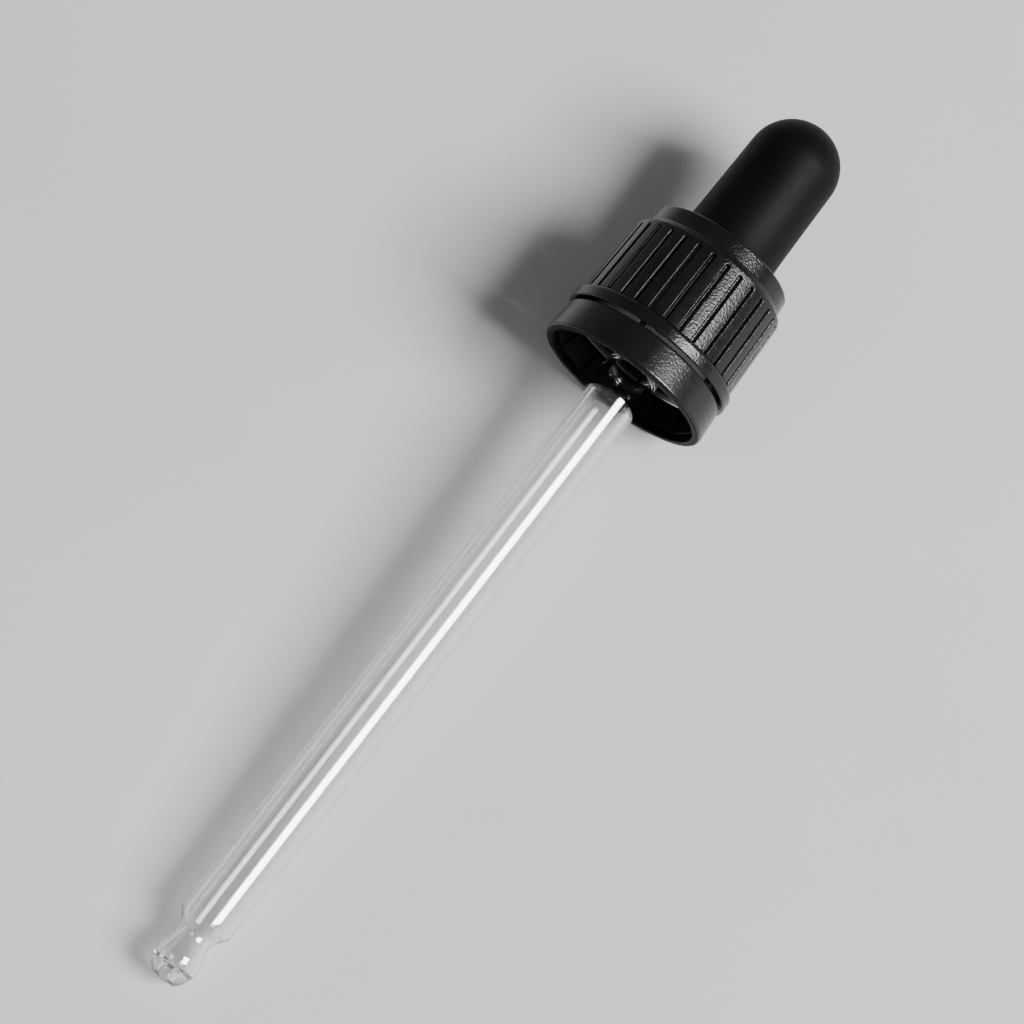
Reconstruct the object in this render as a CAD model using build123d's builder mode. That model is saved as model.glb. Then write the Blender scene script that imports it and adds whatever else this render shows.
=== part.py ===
"""Dropper closure with a rubber bulb and a glass pipette, millimetres.

The axis of the dropper lies along +X: the pipette's tip points to -X and the bulb to +X.
The origin is on that axis, in the plane of the tamper band's open rim.  +Z is up.
"""

import os

from build123d import *

# Tamper band: the loose ring at the open end of the cap
BAND_RIM_R = 11.5
BAND_TOP_R = 11.15
BAND_INNER_R = 10.4
BAND_HEIGHT = 4.45
BAND_EDGE = 0.25

# Locking flaps: leaves hinged inside the band's rim, leaning in and up under the bottle's bead
FLAP_COUNT = 12
FLAP_HINGE_X = 0.9
FLAP_FREE_X = 3.7
FLAP_FREE_R = 9.3
FLAP_HINGE_WIDTH = 5.0
FLAP_ROOTING = 0.8
FLAP_FREE_WIDTH = 4.0
FLAP_THICKNESS = 0.45

# Break bridges: thin webs that hold the band to the cap until it is first opened
BRIDGE_COUNT = 6
BRIDGE_WIDTH = 0.8
BRIDGE_DEPTH = 0.35
GAP = 0.4

# Screw cap
CAP_START = BAND_HEIGHT + GAP
SKIRT_R = 11.5
SKIRT_EDGE = 0.5
SKIRT_FOOT_EDGE = 0.1
RIB_START = 6.5
RIB_END = 17.5
RIB_LOW_R = 10.95
RIB_TOP_R = 10.6
COLLAR_START = 18.2
COLLAR_END = 20.6
COLLAR_LOW_R = 9.7
COLLAR_TOP_R = 9.55
COLLAR_EDGE = 0.25
GROOVE_COUNT = 32
GROOVE_PHASE = 9.0
GROOVE_WIDTH = 0.45
GROOVE_DEPTH = 0.5
GROOVE_START = 6.9
GROOVE_END = 16.9

# Inside of the cap: thread of a GL 18 bottle neck, pocket and hole for the bulb
LEAD_IN = 0.5
THREAD_ROOT_R = 9.1
THREAD_CREST_R = 8.25
THREAD_PITCH = 3.0
THREAD_TURNS = 1.6
THREAD_START = 7.2
THREAD_FOOT = 1.5
THREAD_CREST = 0.6
THREAD_ROOTING = 0.2
BORE_END = 16.9
POCKET_R = 8.0
POCKET_END = 18.8
BULB_HOLE_R = 6.35

# Bulb
FLANGE_R = 7.8
FLANGE_START = 16.9
FLANGE_END = 18.7
NECK_R = 6.1
NECK_END = 20.75
FLARE_R = 6.5
BARREL_LOW_X = 24.5
BARREL_LOW_R = 6.22
DOME_X = 35.2
DOME_R = 5.98
BULB_WALL = 1.3
CAVITY_START = 22.0
CAVITY_FULL = 23.5

# Glass pipette
TUBE_R = 3.5
TUBE_BORE_R = 2.5
TUBE_TOP = 27.0
SHOULDER_X = -80.5
NECK_X = -82.6
TIP_NECK_R = 2.2
BALL_X = -85.8
BALL_R = 2.88
TIP_X = -88.8
TIP_FACE_R = 1.5
ORIFICE_R = 0.9
TIP_NECK_BORE_R = 1.45
BALL_BORE_R = 2.2
BALL_BORE_X = -86.3
TIP_FLOOR_X = -87.2
GLASS_CLEARANCE = 0.03


def radial(angle):
    """Unit vector across the axis, at an angle from +Z towards -Y."""
    return Vector(0, 0, 1).rotate(Axis.X, angle)


def bridge_plane(angle):
    """Plane of one bridge's foot on the band's top face, with its x pointing outwards."""
    foot = Vector(BAND_HEIGHT, 0, 0) + radial(angle) * (BAND_INNER_R + BRIDGE_DEPTH / 2)
    return Plane(origin=foot, x_dir=radial(angle), z_dir=(1, 0, 0))


def flap_plane(angle):
    """Plane of one flap: its x runs from the hinge to the free edge, its z faces the axis."""
    hinge = Vector(FLAP_HINGE_X, 0, 0) + radial(angle) * BAND_INNER_R
    free = Vector(FLAP_FREE_X, 0, 0) + radial(angle) * FLAP_FREE_R
    across = Vector(1, 0, 0).cross(radial(angle))
    return Plane(origin=hinge, x_dir=free - hinge, z_dir=across.cross(free - hinge))


def axial_plane(angle):
    """Plane that holds the axis: its x runs along the dropper, its y runs outwards."""
    out = radial(angle)
    return Plane(origin=(0, 0, 0), x_dir=(1, 0, 0), z_dir=Vector(1, 0, 0).cross(out))


os.makedirs("parts", exist_ok=True)

# Tamper band
with BuildPart() as tamper_band:
    with BuildSketch(Plane.XY):
        with BuildLine():
            Polyline(
                (0, BAND_INNER_R),
                (0, BAND_RIM_R - BAND_EDGE),
                (BAND_EDGE, BAND_RIM_R),
                (BAND_HEIGHT - BAND_EDGE, BAND_TOP_R),
                (BAND_HEIGHT, BAND_TOP_R - BAND_EDGE),
                (BAND_HEIGHT, BAND_INNER_R),
                close=True,
            )
        make_face()
    revolve(axis=Axis.X)

# Locking flaps, one leaf for each plane around the axis
with BuildPart() as locking_flaps:
    flap_planes = [flap_plane(k * 360 / FLAP_COUNT) for k in range(FLAP_COUNT)]
    flap_length = Vector(FLAP_FREE_X - FLAP_HINGE_X, BAND_INNER_R - FLAP_FREE_R, 0).length
    with BuildSketch(*flap_planes):
        with BuildLine():
            Polyline(
                (-FLAP_ROOTING, -FLAP_HINGE_WIDTH / 2),
                (0, -FLAP_HINGE_WIDTH / 2),
                (flap_length, -FLAP_FREE_WIDTH / 2),
                (flap_length, FLAP_FREE_WIDTH / 2),
                (0, FLAP_HINGE_WIDTH / 2),
                (-FLAP_ROOTING, FLAP_HINGE_WIDTH / 2),
                close=True,
            )
        make_face()
    extrude(amount=FLAP_THICKNESS)
    Cylinder(BAND_INNER_R, 4 * BAND_HEIGHT, rotation=(0, 90, 0), mode=Mode.INTERSECT)

# Break bridges, each touching the band's top face and the cap's skirt
with BuildPart() as break_bridges:
    bridge_planes = [bridge_plane(k * 360 / BRIDGE_COUNT) for k in range(BRIDGE_COUNT)]
    with BuildSketch(*bridge_planes):
        Rectangle(BRIDGE_DEPTH, BRIDGE_WIDTH)
    extrude(amount=GAP)

# Screw cap: turned shell, then the grip grooves, then the thread
with BuildPart() as screw_cap:
    with BuildSketch(Plane.XY):
        with BuildLine():
            Polyline(
                (CAP_START, THREAD_ROOT_R + LEAD_IN),
                (CAP_START, SKIRT_R - SKIRT_FOOT_EDGE),
                (CAP_START + SKIRT_FOOT_EDGE, SKIRT_R),
                (RIB_START - SKIRT_EDGE, SKIRT_R),
                (RIB_START, RIB_LOW_R),
                (RIB_END, RIB_TOP_R),
                (COLLAR_START, COLLAR_LOW_R),
                (COLLAR_END - COLLAR_EDGE, COLLAR_TOP_R),
                (COLLAR_END, COLLAR_TOP_R - COLLAR_EDGE),
                (COLLAR_END, BULB_HOLE_R),
                (POCKET_END, BULB_HOLE_R),
                (POCKET_END, POCKET_R),
                (BORE_END, POCKET_R),
                (BORE_END, THREAD_ROOT_R),
                (CAP_START + LEAD_IN, THREAD_ROOT_R),
                close=True,
            )
        make_face()
    revolve(axis=Axis.X)
    groove_planes = [axial_plane(GROOVE_PHASE + k * 360 / GROOVE_COUNT) for k in range(GROOVE_COUNT)]
    with BuildSketch(*groove_planes):
        with BuildLine():
            Polyline(
                (GROOVE_START, SKIRT_R),
                (GROOVE_START, RIB_LOW_R - GROOVE_DEPTH),
                (GROOVE_END - GROOVE_DEPTH, RIB_TOP_R - GROOVE_DEPTH),
                (GROOVE_END, RIB_TOP_R),
                (GROOVE_END, SKIRT_R),
                close=True,
            )
        make_face()
    extrude(amount=GROOVE_WIDTH / 2, both=True, mode=Mode.SUBTRACT)
    thread_centre = Vector(THREAD_START, 0, 0)
    with BuildLine() as thread_path:
        Helix(
            pitch=THREAD_PITCH,
            height=THREAD_PITCH * THREAD_TURNS,
            radius=THREAD_ROOT_R,
            center=thread_centre,
            direction=(1, 0, 0),
        )
    thread_foot = thread_path.line @ 0
    inwards = thread_centre - thread_foot
    with BuildSketch(Plane(origin=thread_foot, x_dir=inwards, z_dir=inwards.cross(Vector(1, 0, 0)))):
        with BuildLine():
            Polyline(
                (-THREAD_ROOTING, THREAD_FOOT / 2),
                (0, THREAD_FOOT / 2),
                (THREAD_ROOT_R - THREAD_CREST_R, THREAD_CREST / 2),
                (THREAD_ROOT_R - THREAD_CREST_R, -THREAD_CREST / 2),
                (0, -THREAD_FOOT / 2),
                (-THREAD_ROOTING, -THREAD_FOOT / 2),
                close=True,
            )
        make_face()
    sweep(path=thread_path.line, is_frenet=True)

# Rubber bulb: flange and neck held by the cap, barrel and dome above it
with BuildPart() as rubber_bulb:
    with BuildSketch(Plane.XY):
        with BuildLine():
            Polyline(
                (CAVITY_START, TUBE_R + GLASS_CLEARANCE),
                (FLANGE_START, TUBE_R + GLASS_CLEARANCE),
                (FLANGE_START, FLANGE_R),
                (FLANGE_END, FLANGE_R),
                (FLANGE_END, NECK_R),
                (NECK_END, NECK_R),
                (NECK_END, FLARE_R),
            )
            Spline(
                (NECK_END, FLARE_R),
                (BARREL_LOW_X, BARREL_LOW_R),
                (DOME_X, DOME_R),
                tangents=((1, -0.12), (1, -0.01)),
            )
            RadiusArc((DOME_X, DOME_R), (DOME_X + DOME_R, 0), DOME_R)
            Line((DOME_X + DOME_R, 0), (DOME_X + DOME_R - BULB_WALL, 0))
            RadiusArc((DOME_X + DOME_R - BULB_WALL, 0), (DOME_X, DOME_R - BULB_WALL), -(DOME_R - BULB_WALL))
            Line((DOME_X, DOME_R - BULB_WALL), (CAVITY_FULL, BARREL_LOW_R - BULB_WALL))
            Line((CAVITY_FULL, BARREL_LOW_R - BULB_WALL), (CAVITY_START, TUBE_R + GLASS_CLEARANCE))
        make_face()
    revolve(axis=Axis.X)

# Glass pipette: straight tube, shoulder, neck and ball tip, with its bore
with BuildPart() as glass_pipette:
    with BuildSketch(Plane.XY):
        with BuildLine():
            Polyline((SHOULDER_X, TUBE_BORE_R), (TUBE_TOP, TUBE_BORE_R), (TUBE_TOP, TUBE_R), (SHOULDER_X, TUBE_R))
            Spline((SHOULDER_X, TUBE_R), (NECK_X, TIP_NECK_R), tangents=((-1, 0), (-1, 0)))
            Spline((NECK_X, TIP_NECK_R), (BALL_X, BALL_R), tangents=((-1, 0), (-1, 0)))
            Spline((BALL_X, BALL_R), (TIP_X, TIP_FACE_R), tangents=((-1, 0), (-0.3, -1)))
            Line((TIP_X, TIP_FACE_R), (TIP_X, ORIFICE_R))
            Line((TIP_X, ORIFICE_R), (TIP_FLOOR_X, ORIFICE_R))
            Spline((TIP_FLOOR_X, ORIFICE_R), (BALL_BORE_X, BALL_BORE_R), tangents=((0.2, 1), (1, 0)))
            Spline((BALL_BORE_X, BALL_BORE_R), (NECK_X, TIP_NECK_BORE_R), tangents=((1, 0), (1, 0)))
            Spline((NECK_X, TIP_NECK_BORE_R), (SHOULDER_X, TUBE_BORE_R), tangents=((1, 0), (1, 0)))
        make_face()
    revolve(axis=Axis.X)

for name, piece in {
    "tamper_band": tamper_band,
    "locking_flaps": locking_flaps,
    "break_bridges": break_bridges,
    "screw_cap": screw_cap,
    "rubber_bulb": rubber_bulb,
    "glass_pipette": glass_pipette,
}.items():
    piece.part.label = name
    export_step(piece.part, f"parts/{name}.step")
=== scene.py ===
"""Looks for the dropper closure: rubber bulb, ribbed cap with its tamper band, and glass pipette.

The dropper's axis lies along +X, its tip to -X.  Sizes are in metres.
"""

import math

import bpy
from mathutils import Matrix, Vector


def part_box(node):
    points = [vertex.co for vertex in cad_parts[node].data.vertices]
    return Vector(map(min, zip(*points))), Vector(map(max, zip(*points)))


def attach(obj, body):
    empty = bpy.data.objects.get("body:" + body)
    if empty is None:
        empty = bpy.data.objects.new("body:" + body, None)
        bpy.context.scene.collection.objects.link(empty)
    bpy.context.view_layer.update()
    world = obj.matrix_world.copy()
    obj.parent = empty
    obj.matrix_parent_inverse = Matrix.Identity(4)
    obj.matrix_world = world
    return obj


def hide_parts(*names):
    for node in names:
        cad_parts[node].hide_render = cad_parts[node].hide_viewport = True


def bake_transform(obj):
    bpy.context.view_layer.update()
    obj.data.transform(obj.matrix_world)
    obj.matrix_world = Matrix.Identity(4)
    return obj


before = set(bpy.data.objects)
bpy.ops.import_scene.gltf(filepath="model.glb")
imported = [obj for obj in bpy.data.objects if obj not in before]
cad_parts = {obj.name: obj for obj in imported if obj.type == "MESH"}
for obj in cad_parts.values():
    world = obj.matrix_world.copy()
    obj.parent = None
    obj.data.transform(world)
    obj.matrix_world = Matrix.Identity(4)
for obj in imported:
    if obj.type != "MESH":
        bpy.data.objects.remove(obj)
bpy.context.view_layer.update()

MM = 0.001
FULL_TURN = 2 * math.pi


# ---------------------------------------------------------------- mesh helpers


def rounded(points, closed, steps=5):
    """Outline of (x, r, corner radius) with each corner turned into a short arc.

    Two more points close to each arc keep the shading of the flat stretches flat.
    """
    count = len(points)
    outline = []
    for i, (x, r, radius) in enumerate(points):
        here = Vector((x, r))
        if radius == 0 or (not closed and i in (0, count - 1)):
            outline.append(here)
            continue
        before = Vector(points[i - 1][:2]) - here
        after = Vector(points[(i + 1) % count][:2]) - here
        half = before.angle(after) / 2
        cut = min(radius / math.tan(half), 0.45 * before.length, 0.45 * after.length)
        radius = cut * math.tan(half)
        before.normalize()
        after.normalize()
        centre = here + (before + after).normalized() * (radius / math.sin(half))
        first = here + before * cut - centre
        last = here + after * cut - centre
        support = min(0.25 * cut, 0.05 * MM)
        outline.append(here + before * (cut + support))
        for k in range(steps + 1):
            outline.append(centre + first.lerp(last, k / steps).normalized() * radius)
        outline.append(here + after * (cut + support))
    return outline


def s_curve(start, end, steps=12):
    """Points from start to end along x that leave and arrive parallel to the axis."""
    points = []
    for k in range(steps + 1):
        t = k / steps
        x = start[0] + (end[0] - start[0]) * t
        r = start[1] + (end[1] - start[1]) * t * t * (3 - 2 * t)
        points.append(Vector((x, r)))
    return points


def ellipse_arc(centre_x, half_length, height, start_deg, end_deg, steps=16):
    """Points on an ellipse about (centre_x, 0), by the angle from the axis."""
    points = []
    for k in range(steps + 1):
        angle = math.radians(start_deg + (end_deg - start_deg) * k / steps)
        points.append(Vector((centre_x + half_length * math.cos(angle), height * math.sin(angle))))
    return points


def on_ring(x, r, angle):
    """A point at radius r, at an angle from +Z towards -Y."""
    return (x, -r * math.sin(angle), r * math.cos(angle))


def mesh_piece(name, vertices, faces):
    mesh = bpy.data.meshes.new(name)
    mesh.from_pydata(vertices, [], faces)
    mesh.validate()
    for polygon in mesh.polygons:
        polygon.use_smooth = True
    piece = bpy.data.objects.new(name, mesh)
    bpy.context.scene.collection.objects.link(piece)
    return piece


def turned(name, outline, angles, closed, relief=None):
    """Solid of revolution.  A closed outline makes a ring; an open one starts and ends on the axis.

    relief(x, r, angle, index) may move each point of the outline to another radius.
    """
    relief = relief or (lambda x, r, angle, index: r)
    columns = len(angles)
    rows = outline if closed else outline[1:-1]
    shift = 0 if closed else 1
    vertices = [
        on_ring(p.x, relief(p.x, p.y, angle, i + shift), angle)
        for i, p in enumerate(rows)
        for angle in angles
    ]
    faces = []
    for i in range(len(rows) if closed else len(rows) - 1):
        here = i * columns
        there = ((i + 1) % len(rows)) * columns
        for j in range(columns):
            k = (j + 1) % columns
            faces.append((here + j, here + k, there + k, there + j))
    if not closed:
        first = len(vertices)
        vertices.append((outline[0].x, 0, 0))
        vertices.append((outline[-1].x, 0, 0))
        last_row = (len(rows) - 1) * columns
        for j in range(columns):
            k = (j + 1) % columns
            faces.append((first, k, j))
            faces.append((first + 1, last_row + j, last_row + k))
    return mesh_piece(name, vertices, faces)


def even_angles(columns):
    return [FULL_TURN * k / columns for k in range(columns)]


def facing_out(piece):
    """Turns every face's normal outwards."""
    bpy.context.view_layer.objects.active = piece
    piece.select_set(True)
    bpy.ops.object.mode_set(mode="EDIT")
    bpy.ops.mesh.select_all(action="SELECT")
    bpy.ops.mesh.normals_make_consistent(inside=False)
    bpy.ops.object.mode_set(mode="OBJECT")
    piece.select_set(False)
    return piece


# ---------------------------------------------------------------- materials


class Nodes:
    """A material's node tree with short ways to add and join nodes."""

    def __init__(self, name):
        self.material = bpy.data.materials.new(name)
        self.material.use_nodes = True
        self.tree = self.material.node_tree
        self.shader = self.tree.nodes["Principled BSDF"]
        self.output = self.tree.nodes["Material Output"]
        self.place = self.add("ShaderNodeTexCoord").outputs["Object"]

    def add(self, kind):
        return self.tree.nodes.new(kind)

    def join(self, source, target):
        self.tree.links.new(source, target)

    def constant(self, socket, value):
        """Sets one of the shader's own sockets."""
        self.shader.inputs[socket].default_value = value

    def noise(self, scale, detail, vector=None):
        """Noise with scale features to the metre."""
        node = self.add("ShaderNodeTexNoise")
        node.inputs["Scale"].default_value = scale
        node.inputs["Detail"].default_value = detail
        self.join(vector or self.place, node.inputs["Vector"])
        return node.outputs["Fac"]

    def ramp(self, source, stops):
        """Grey ramp with stops of (position, grey)."""
        node = self.add("ShaderNodeValToRGB")
        band = node.color_ramp
        while len(band.elements) < len(stops):
            band.elements.new(0.5)
        for element, (position, grey) in zip(band.elements, stops):
            element.position = position
            element.color = (grey, grey, grey, 1)
        self.join(source, node.inputs["Fac"])
        return node.outputs["Color"]

    def bump(self, source, strength, distance, under=None):
        """Relief on the shading, on top of another relief where under is given."""
        node = self.add("ShaderNodeBump")
        node.inputs["Strength"].default_value = strength
        node.inputs["Distance"].default_value = distance
        self.join(source, node.inputs["Height"])
        if under is not None:
            self.join(under, node.inputs["Normal"])
        return node.outputs["Normal"]


def cap_plastic(name, grain, gloss, roughness):
    """Black moulded polypropylene: satin, with the mould's leathery grain and a little handling wear.

    grain is the depth of the mould's relief, from 0 for none to 1 for the deepest.
    """
    wear = 0.03
    n = Nodes(name)
    tone = n.ramp(n.noise(260, 4), [(0.3, 0.0028), (0.7, 0.0046)])
    n.join(tone, n.shader.inputs["Base Color"])
    worn = n.ramp(n.noise(900, 4), [(0.3, roughness - wear), (0.7, roughness + wear)])
    n.join(worn, n.shader.inputs["Roughness"])
    n.constant("Specular IOR Level", gloss)
    patches = n.bump(n.noise(900, 2), 0.08 * grain, 0.04 * MM)
    creases = n.bump(n.noise(3600, 2), 0.9 * grain, 0.05 * MM, patches)
    fine = n.bump(n.noise(9000, 2), 0.3 * grain, 0.02 * MM, creases)
    n.join(fine, n.shader.inputs["Normal"])
    return n.material


def bulb_rubber():
    """Matte black rubber with a bloom of slightly paler patches and a very fine skin."""
    n = Nodes("bulb_rubber_black")
    tone = n.ramp(n.noise(180, 5), [(0.3, 0.0013), (0.75, 0.0024)])
    n.join(tone, n.shader.inputs["Base Color"])
    gloss = n.ramp(n.noise(700, 4), [(0.3, 0.50), (0.7, 0.58)])
    n.join(gloss, n.shader.inputs["Roughness"])
    n.constant("Specular IOR Level", 0.1)
    n.join(n.bump(n.noise(12000, 3), 0.25, 0.02 * MM), n.shader.inputs["Normal"])
    return n.material


def clear_glass():
    """Clear drawn glass, with faint lines along its length from the drawing and faint smears.

    It lets a part of each lamp's light straight through, so that its shadow is a light one.
    """
    light_let_through = 0.42
    n = Nodes("pipette_glass_clear")
    n.constant("Base Color", (1, 1, 1, 1))
    n.constant("Transmission Weight", 1.0)
    n.constant("IOR", 1.5)
    n.constant("Coat Weight", 1.0)
    n.constant("Coat IOR", 2.0)
    n.constant("Coat Roughness", 0.02)
    smears = n.ramp(n.noise(90, 4), [(0.3, 0.022), (0.75, 0.03)])
    n.join(smears, n.shader.inputs["Roughness"])
    along = n.add("ShaderNodeMapping")
    along.inputs["Scale"].default_value = (0, 1, 1)
    n.join(n.place, along.inputs["Vector"])
    draw_lines = n.noise(300, 1, vector=along.outputs["Vector"])
    n.join(n.bump(draw_lines, 0.02, 0.001 * MM), n.shader.inputs["Normal"])
    shade = n.add("ShaderNodeBsdfTransparent")
    shade.inputs["Color"].default_value = (light_let_through, light_let_through, light_let_through, 1)
    path = n.add("ShaderNodeLightPath")
    mix = n.add("ShaderNodeMixShader")
    n.join(path.outputs["Is Shadow Ray"], mix.inputs["Fac"])
    n.join(n.shader.outputs["BSDF"], mix.inputs[1])
    n.join(shade.outputs["BSDF"], mix.inputs[2])
    n.join(mix.outputs["Shader"], n.output.inputs["Surface"])
    return n.material


def table_paint():
    """Pale matt table top with faint marks."""
    n = Nodes("table_paint")
    tone = n.ramp(n.noise(14, 5), [(0.3, 0.545), (0.7, 0.575)])
    n.join(tone, n.shader.inputs["Base Color"])
    n.constant("Roughness", 0.65)
    n.constant("Specular IOR Level", 0.3)
    n.join(n.bump(n.noise(60, 6), 0.08, 0.3 * MM), n.shader.inputs["Normal"])
    return n.material


def second_material(piece, material, inner):
    """Gives a turned piece's faces a second material where inner(x, r) says so."""
    piece.data.materials.append(material)
    for face in piece.data.polygons:
        if inner(face.center.x, math.hypot(face.center.y, face.center.z)):
            face.material_index = 1


def finish_piece(piece, material, body, slot, *replaced):
    """Gives a piece its material and body, and hides the CAD nodes that it stands for; slot is not used.

    A piece whose body is None is attached to no body.
    """
    piece.data.materials.append(material)
    if body:
        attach(piece, body)
    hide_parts(*replaced)


# ---------------------------------------------------------------- sizes from the frame

cap_low, cap_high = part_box("screw_cap")
band_low, band_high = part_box("tamper_band")
bulb_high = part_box("rubber_bulb")[1]
glass_low, glass_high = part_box("glass_pipette")

skirt_r = cap_high.z
band_r = band_high.z
tube_r = glass_high.z

# ---------------------------------------------------------------- glass pipette

BORE_R = 2.5 * MM
SHOULDER_X = -80.5 * MM
NECK_X = -82.6 * MM
NECK_R = 2.2 * MM
BALL_X = -85.8 * MM
BALL_R = 2.88 * MM
TIP_FACE_R = 1.5 * MM
ORIFICE_R = 0.9 * MM
NECK_BORE_R = 1.45 * MM
BALL_BORE_R = 2.2 * MM
BALL_BORE_X = -86.3 * MM
TIP_FLOOR_X = -87.2 * MM
STRAIGHT_END_X = SHOULDER_X + 4 * MM
ORIFICE_EDGE = 0.1 * MM
GLASS_COLUMNS = 144


def pipette_outline():
    """Section of the glass: out along the tube's outside, round the tip, back along the bore."""
    top_x = glass_high.x
    tip_x = glass_low.x
    edge = 0.4 * MM
    outline = rounded(
        [
            (STRAIGHT_END_X, BORE_R, 0),
            (top_x, BORE_R, edge),
            (top_x, tube_r, edge),
            (STRAIGHT_END_X, tube_r, 0),
        ],
        closed=False,
    )
    outline += s_curve((SHOULDER_X, tube_r), (NECK_X, NECK_R))
    outline += s_curve((NECK_X, NECK_R), (BALL_X, BALL_R))[1:]
    face_angle = math.degrees(math.asin(TIP_FACE_R / BALL_R))
    half_length = (BALL_X - tip_x) / math.cos(math.radians(face_angle))
    outline += ellipse_arc(BALL_X, half_length, BALL_R, 90, 180 - face_angle)[1:]
    outline += [
        Vector((tip_x, ORIFICE_R + ORIFICE_EDGE)),
        Vector((tip_x + ORIFICE_EDGE, ORIFICE_R)),
        Vector((TIP_FLOOR_X - ORIFICE_EDGE, ORIFICE_R)),
        Vector((TIP_FLOOR_X, ORIFICE_R + ORIFICE_EDGE)),
    ]
    outline += ellipse_arc(BALL_BORE_X, BALL_BORE_X - TIP_FLOOR_X, BALL_BORE_R, 150, 90, 8)
    outline += s_curve((BALL_BORE_X, BALL_BORE_R), (NECK_X, NECK_BORE_R))[1:]
    outline += s_curve((NECK_X, NECK_BORE_R), (SHOULDER_X, BORE_R))[1:]
    return outline


glass = clear_glass()
pipette = facing_out(turned("pipette_glass", pipette_outline(), even_angles(GLASS_COLUMNS), closed=True))
finish_piece(pipette, glass, "pipette", "pipette_glass", "glass_pipette")

# ---------------------------------------------------------------- rubber bulb

BULB_COLUMNS = 128
DOME_R = 5.98 * MM
FLARE_R = 6.5 * MM
FLARE_FADE = 1.3 * MM
FLARE_EDGE = 0.3 * MM
BARREL_R = 6.22 * MM
BULB_NECK_R = 6.1 * MM
NECK_END = 20.75 * MM
FLANGE_R = 7.8 * MM
FLANGE_START = 16.9 * MM
FLANGE_END = 18.7 * MM
BULB_BORE_R = 3.53 * MM
CAVITY_START = 22.0 * MM
CAVITY_FULL = 23.5 * MM
BULB_WALL = 1.3 * MM


def bulb_barrel(x, dome_x):
    """Outer radius of the bulb between its flare and its dome: a soft foot, then a slight taper."""
    along = (x - NECK_END) / (dome_x - NECK_END)
    foot = math.exp(-(x - NECK_END) / FLARE_FADE)
    return BARREL_R + (DOME_R - BARREL_R) * along + (FLARE_R - BARREL_R) * foot


def bulb_outline():
    """Section of the bulb from the top of its dome, down its outside and back up its inside."""
    dome_x = bulb_high.x - DOME_R
    foot_x = NECK_END + FLARE_EDGE
    rings = 40
    outline = ellipse_arc(dome_x, DOME_R, DOME_R, 0, 90, 24)
    for k in range(1, rings):
        x = dome_x + (foot_x - dome_x) * (k / rings) ** 0.8
        outline.append(Vector((x, bulb_barrel(x, dome_x))))
    outline += rounded(
        [
            (foot_x, bulb_barrel(foot_x, dome_x), 0),
            (NECK_END, FLARE_R, 0.15 * MM),
            (NECK_END, BULB_NECK_R, 0.1 * MM),
            (FLANGE_END, BULB_NECK_R, 0.1 * MM),
            (FLANGE_END, FLANGE_R, 0.3 * MM),
            (FLANGE_START, FLANGE_R, 0.3 * MM),
            (FLANGE_START, BULB_BORE_R, 0.2 * MM),
            (CAVITY_START, BULB_BORE_R, 0.3 * MM),
            (CAVITY_FULL, BARREL_R - BULB_WALL, 0.6 * MM),
            (dome_x, DOME_R - BULB_WALL, 0),
        ],
        closed=False,
    )
    outline += ellipse_arc(dome_x, DOME_R - BULB_WALL, DOME_R - BULB_WALL, 90, 0, 16)[1:]
    return outline


bulb = facing_out(turned("bulb_rubber", bulb_outline(), even_angles(BULB_COLUMNS), closed=False))
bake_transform(bulb)
finish_piece(bulb, bulb_rubber(), None, "bulb_rubber", "rubber_bulb")

# ---------------------------------------------------------------- screw cap

RIB_START = 6.5 * MM
RIB_END = 17.5 * MM
RIB_LOW_R = 10.95 * MM
RIB_TOP_R = 10.6 * MM
COLLAR_START = 18.2 * MM
COLLAR_LOW_R = 9.7 * MM
COLLAR_TOP_R = 9.55 * MM
GROOVE_COUNT = 32
GROOVE_PHASE = math.radians(9.0)
GROOVE_WIDTH = 0.45 * MM
GROOVE_DEPTH = 0.5 * MM
GROOVE_START = 6.9 * MM
GROOVE_END = 16.9 * MM
GROOVE_EDGE = 0.12 * MM
THREAD_ROOT_R = 9.1 * MM
THREAD_CREST_R = 8.25 * MM
THREAD_PITCH = 3.0 * MM
THREAD_TURNS = 1.6
THREAD_START = 7.2 * MM
THREAD_FOOT = 1.5 * MM
THREAD_CREST = 0.6 * MM
THREAD_RUN_OUT = 0.04
THREAD_START_ANGLE = FULL_TURN / 4
BORE_END = 16.9 * MM
POCKET_R = 8.0 * MM
POCKET_END = 18.8 * MM
BULB_HOLE_R = 6.35 * MM


def smooth_step(low, high, value):
    """Rises smoothly from 0 at low to 1 at high."""
    t = min(1.0, max(0.0, (value - low) / (high - low)))
    return t * t * (3 - 2 * t)


def groove_angles():
    """Angles for the cap's columns: close together at each groove's edges, wider on the lands."""
    middle_r = (RIB_LOW_R + RIB_TOP_R) / 2
    half = GROOVE_WIDTH / 2
    pitch = FULL_TURN / GROOVE_COUNT
    edge_steps = [half + GROOVE_EDGE * k for k in (-1.6, -0.9, -0.3, 0.3, 0.9, 1.6)]
    across = [0.0] + edge_steps + [half + 0.3 * MM, pitch * middle_r / 2]
    offsets = sorted([-a for a in across[1:-1]] + across)
    return [GROOVE_PHASE + k * pitch + a / middle_r for k in range(GROOVE_COUNT) for a in offsets]


def groove_cut(x, r, angle):
    """How deep a grip groove is at a point of the cap's outside; its far end is round."""
    pitch = FULL_TURN / GROOVE_COUNT
    turn = (angle - GROOVE_PHASE) / pitch
    across = abs(turn - round(turn)) * pitch * r
    half = GROOVE_WIDTH / 2
    past_end = max(0.0, x - (GROOVE_END - half))
    past_start = max(0.0, GROOVE_START - x)
    distance = math.hypot(across, max(past_end, past_start)) - half
    return GROOVE_DEPTH * (1 - smooth_step(-GROOVE_EDGE, GROOVE_EDGE, distance))


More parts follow.
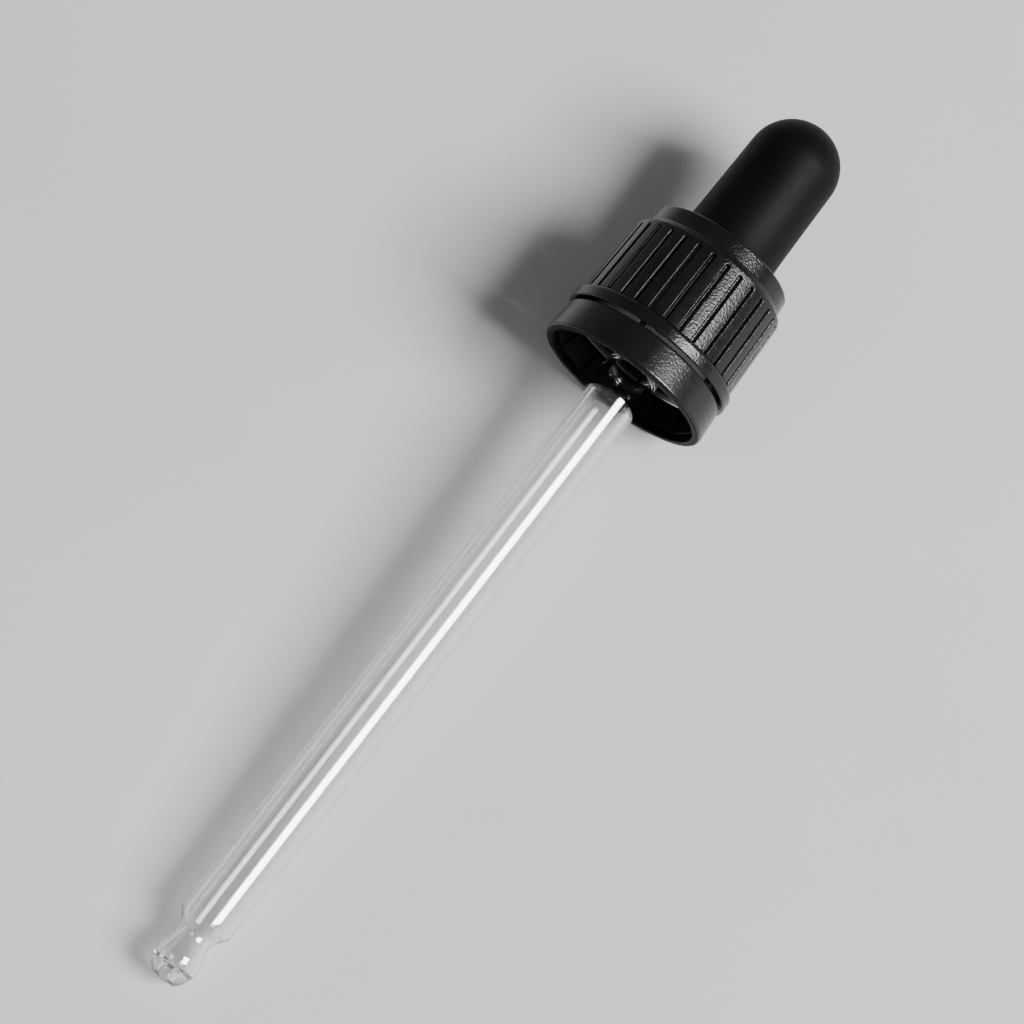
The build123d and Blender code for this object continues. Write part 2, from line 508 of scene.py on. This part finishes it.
def thread_rise(x, angle):
    """How far the thread stands in from the bore's wall at a point."""
    along = (x - THREAD_START) / THREAD_PITCH
    turn = ((angle - THREAD_START_ANGLE) / FULL_TURN) % 1.0
    nearest = round(along - turn) + turn
    begun = smooth_step(-THREAD_RUN_OUT, 0.0, nearest)
    ended = smooth_step(THREAD_TURNS, THREAD_TURNS + THREAD_RUN_OUT, nearest)
    inside = begun * (1 - ended)
    distance = abs(along - nearest) * THREAD_PITCH
    flank = 1 - smooth_step(THREAD_CREST / 2, THREAD_FOOT / 2, distance)
    return (THREAD_ROOT_R - THREAD_CREST_R) * flank * inside


def cap_outline():
    """Section of the cap, and which of its points lie on the ribbed outside or the threaded bore."""
    rib_rows = [RIB_START + 0.25 * MM]
    rib_rows += [GROOVE_START + a * MM for a in (-0.3, -0.2, -0.1, 0.0, 0.1, 0.3)]
    rib_rows += [GROOVE_START + (1 + k) * MM for k in range(8)]
    rib_rows += [GROOVE_END + a * MM for a in (-0.5, -0.35, -0.25, -0.18, -0.12)]
    rib_rows += [GROOVE_END + a * MM for a in (-0.06, 0.0, 0.06, 0.12, 0.2)]
    taper = (RIB_TOP_R - RIB_LOW_R) / (RIB_END - RIB_START)
    lands = [Vector((x, RIB_LOW_R + taper * (x - RIB_START))) for x in rib_rows]
    foot = rounded(
        [
            (cap_low.x + 0.3 * MM, THREAD_ROOT_R + 0.3 * MM, 0),
            (cap_low.x, THREAD_ROOT_R + 0.5 * MM, 0.15 * MM),
            (cap_low.x, skirt_r, 0.2 * MM),
            (RIB_START - 0.1 * MM, skirt_r, 0.75 * MM),
            (RIB_START, RIB_LOW_R, 0.2 * MM),
            (lands[0].x, lands[0].y, 0),
        ],
        closed=False,
    )
    top = rounded(
        [
            (lands[-1].x, lands[-1].y, 0),
            (RIB_END, RIB_TOP_R, 0.25 * MM),
            (COLLAR_START, COLLAR_LOW_R, 0.6 * MM),
            (cap_high.x, COLLAR_TOP_R, 0.3 * MM),
            (cap_high.x, BULB_HOLE_R, 0.15 * MM),
            (POCKET_END, BULB_HOLE_R, 0.1 * MM),
            (POCKET_END, POCKET_R, 0.1 * MM),
            (BORE_END, POCKET_R, 0.15 * MM),
            (BORE_END, THREAD_ROOT_R, 0.15 * MM),
            (BORE_END - 0.4 * MM, THREAD_ROOT_R, 0),
        ],
        closed=False,
    )
    bore_rows = 56
    bore_start = cap_low.x + 0.5 * MM
    bore_end = BORE_END - 0.4 * MM
    bore = [
        Vector((bore_end + (bore_start - bore_end) * k / bore_rows, THREAD_ROOT_R))
        for k in range(1, bore_rows + 1)
    ]
    outline = foot[:-1] + lands + top[1:] + bore
    ribbed = range(len(foot) - 1, len(foot) - 1 + len(lands))
    threaded = range(len(outline) - len(bore), len(outline))
    return outline, ribbed, threaded


def cap_relief(ribbed, threaded):
    """Relief of the cap's section: grooves in its ribbed points and the thread on its bore's points."""

    def relief(x, r, angle, index):
        if index in ribbed:
            return r - groove_cut(x, r, angle)
        if index in threaded:
            return r - thread_rise(x, angle)
        return r

    return relief


outline, ribbed, threaded = cap_outline()
cap = facing_out(turned("cap_shell", outline, groove_angles(), True, cap_relief(ribbed, threaded)))
grained = cap_plastic("cap_plastic_grained", grain=0.9, gloss=0.34, roughness=0.22)
matt = cap_plastic("cap_plastic_matt", grain=0.15, gloss=0.06, roughness=0.45)
finish_piece(cap, grained, "cap", "cap_plastic", "screw_cap")
second_material(cap, matt, lambda x, r: r < THREAD_ROOT_R + 0.4 * MM and x < POCKET_END)

# ---------------------------------------------------------------- tamper band, flaps and bridges

BAND_INNER_R = 10.4 * MM
BAND_TOP_R = 11.15 * MM
BAND_COLUMNS = 192
FLAP_COUNT = 12
FLAP_HINGE_X = 0.9 * MM
FLAP_FREE_X = 3.7 * MM
FLAP_FREE_R = 9.3 * MM
FLAP_HINGE_WIDTH = 5.0 * MM
FLAP_FREE_WIDTH = 4.0 * MM
FLAP_THICKNESS = 0.45 * MM
BRIDGE_COUNT = 6
BRIDGE_WIDTH = 0.8 * MM
BRIDGE_DEPTH = 0.35 * MM

band_outline = rounded(
    [
        (band_low.x, BAND_INNER_R, 0.12 * MM),
        (band_low.x, band_r, 0.55 * MM),
        (band_high.x, BAND_TOP_R, 0.3 * MM),
        (band_high.x, BAND_INNER_R, 0.12 * MM),
    ],
    closed=True,
)
smoother = cap_plastic("cap_plastic_smooth", grain=0.8, gloss=0.36, roughness=0.25)
band = facing_out(turned("band_ring", band_outline, even_angles(BAND_COLUMNS), closed=True))
finish_piece(band, smoother, "band", "cap_plastic", "tamper_band")
second_material(band, matt, lambda x, r: x < band_low.x + 0.1 * MM or r < BAND_INNER_R + 0.1 * MM)


def box_between(corners_low, corners_high):
    """Vertices and faces of a box from two rings of four corners."""
    vertices = list(corners_low) + list(corners_high)
    faces = [(3, 2, 1, 0), (4, 5, 6, 7)]
    faces += [(i, (i + 1) % 4, 4 + (i + 1) % 4, 4 + i) for i in range(4)]
    return vertices, faces


def group_of(name, blocks, edge):
    """One piece from several blocks, with small rounded edges."""
    vertices = []
    faces = []
    for block_vertices, block_faces in blocks:
        start = len(vertices)
        vertices += block_vertices
        faces += [tuple(start + i for i in face) for face in block_faces]
    piece = facing_out(mesh_piece(name, vertices, faces))
    bevel = piece.modifiers.new("edge", "BEVEL")
    bevel.width = edge
    bevel.segments = 3
    bevel.harden_normals = True
    return piece


def flap_block(angle):
    """One locking flap: a leaf from its hinge on the band's wall to its free edge."""
    out = Vector(on_ring(0, 1, angle))
    along = Vector((1, 0, 0))
    across = along.cross(out)
    hinge_r = math.sqrt(BAND_INNER_R**2 - (FLAP_HINGE_WIDTH / 2) ** 2)
    hinge = along * FLAP_HINGE_X + out * hinge_r
    free = along * FLAP_FREE_X + out * FLAP_FREE_R
    inwards = (free - hinge).cross(across).normalized()
    if inwards.dot(out) > 0:
        inwards = -inwards
    corners = [
        hinge - across * FLAP_HINGE_WIDTH / 2,
        free - across * FLAP_FREE_WIDTH / 2,
        free + across * FLAP_FREE_WIDTH / 2,
        hinge + across * FLAP_HINGE_WIDTH / 2,
    ]
    return box_between(corners, [c + inwards * FLAP_THICKNESS for c in corners])


def bridge_block(angle):
    """One break bridge between the band and the cap's skirt."""
    out = Vector(on_ring(0, 1, angle))
    across = Vector((1, 0, 0)).cross(out)
    corners = [
        out * (BAND_INNER_R + depth) + across * side * BRIDGE_WIDTH / 2
        for depth, side in ((0, -1), (BRIDGE_DEPTH, -1), (BRIDGE_DEPTH, 1), (0, 1))
    ]
    low = [c + Vector((band_high.x, 0, 0)) for c in corners]
    high = [c + Vector((cap_low.x, 0, 0)) for c in corners]
    return box_between(low, high)


flap_step = FULL_TURN / FLAP_COUNT
bridge_step = FULL_TURN / BRIDGE_COUNT
flaps = group_of("band_flaps", [flap_block(k * flap_step) for k in range(FLAP_COUNT)], 0.08 * MM)
finish_piece(flaps, matt, "band", "cap_plastic", "locking_flaps")
bridges = group_of("band_bridges", [bridge_block(k * bridge_step) for k in range(BRIDGE_COUNT)], 0.05 * MM)
finish_piece(bridges, matt, "band", "cap_plastic", "break_bridges")

# ---------------------------------------------------------------- table, light and camera

rim_low = Vector((band_low.x, 0, -band_r))
tip_low = Vector((SHOULDER_X, 0, -tube_r))
slope = math.atan2(tip_low.z - rim_low.z, rim_low.x - tip_low.x)
level = Matrix.Rotation(slope, 4, "Y")

TABLE_FLAT_R = 1.8
TABLE_BEND_R = 0.7
TABLE_WALL = 1.2
TABLE_COLUMNS = 96
TABLE_BEND_STEPS = 16
TABLE_GAP = 0.1 * MM


def studio_table():
    """Flat round table top whose edge bends up into a plain wall all round."""
    profile = [(TABLE_FLAT_R - 0.1, 0.0), (TABLE_FLAT_R, 0.0)]
    for k in range(1, TABLE_BEND_STEPS + 1):
        bend = math.pi / 2 * k / TABLE_BEND_STEPS
        out = TABLE_FLAT_R + TABLE_BEND_R * math.sin(bend)
        profile.append((out, TABLE_BEND_R * (1 - math.cos(bend))))
    profile.append((TABLE_FLAT_R + TABLE_BEND_R, TABLE_BEND_R + TABLE_WALL))
    vertices = [(0, 0, 0)]
    faces = []
    for ring, (out, up) in enumerate(profile):
        for j, angle in enumerate(even_angles(TABLE_COLUMNS)):
            vertices.append((out * math.cos(angle), out * math.sin(angle), up))
            here = 1 + ring * TABLE_COLUMNS + j
            beside = 1 + ring * TABLE_COLUMNS + (j + 1) % TABLE_COLUMNS
            if ring == 0:
                faces.append((0, here, beside))
            else:
                faces.append((here - TABLE_COLUMNS, here, beside, beside - TABLE_COLUMNS))
    return mesh_piece("table", vertices, faces)


table = studio_table()
table.data.materials.append(table_paint())
table.matrix_world = Matrix.Translation(rim_low - Vector((0, 0, TABLE_GAP))) @ level

world = bpy.data.worlds.new("studio")
world.use_nodes = True
world.node_tree.nodes["Background"].inputs["Color"].default_value = (1, 1, 1, 1)
world.node_tree.nodes["Background"].inputs["Strength"].default_value = 0.16
bpy.context.scene.world = world


def towards(azimuth, elevation):
    """Unit vector at an azimuth from -Y towards +X and an elevation, both in degrees."""
    a = math.radians(azimuth)
    e = math.radians(elevation)
    return Vector((math.sin(a) * math.cos(e), -math.cos(a) * math.cos(e), math.sin(e)))


def soft_light(name, aim, azimuth, elevation, distance, width, height, power):
    """Rectangular light that faces aim, at an azimuth and elevation over the table."""
    away = level.to_3x3() @ towards(azimuth, elevation)
    data = bpy.data.lights.new(name, "AREA")
    data.shape = "RECTANGLE"
    data.size = width
    data.size_y = height
    data.energy = power
    lamp = bpy.data.objects.new(name, data)
    lamp.location = aim + away * distance
    lamp.rotation_mode = "QUATERNION"
    lamp.rotation_quaternion = (-away).to_track_quat("-Z", "Y")
    bpy.context.scene.collection.objects.link(lamp)


MIDDLE = Vector((-0.03, 0, 0))
soft_light("window", MIDDLE, azimuth=4, elevation=41, distance=1.5, width=0.66, height=0.66, power=60)

CAMERA_AZIMUTH = -53.0
CAMERA_ELEVATION = 67.0
CAMERA_DISTANCE = 0.3966
CAMERA_LENS = 116
AIM = Vector((-19.44, 2.2, -4.12)) * MM

back = towards(CAMERA_AZIMUTH, CAMERA_ELEVATION)
turn = level.to_quaternion() @ (-back).to_track_quat("-Z", "Y")
camera_data = bpy.data.cameras.new("camera")
camera_data.lens = CAMERA_LENS
camera_data.clip_start = 0.01
camera_data.clip_end = 20
camera = bpy.data.objects.new("camera", camera_data)
camera.rotation_mode = "QUATERNION"
camera.rotation_quaternion = turn
camera.location = AIM + turn @ Vector((0, 0, CAMERA_DISTANCE))
bpy.context.scene.collection.objects.link(camera)
bpy.context.scene.camera = camera
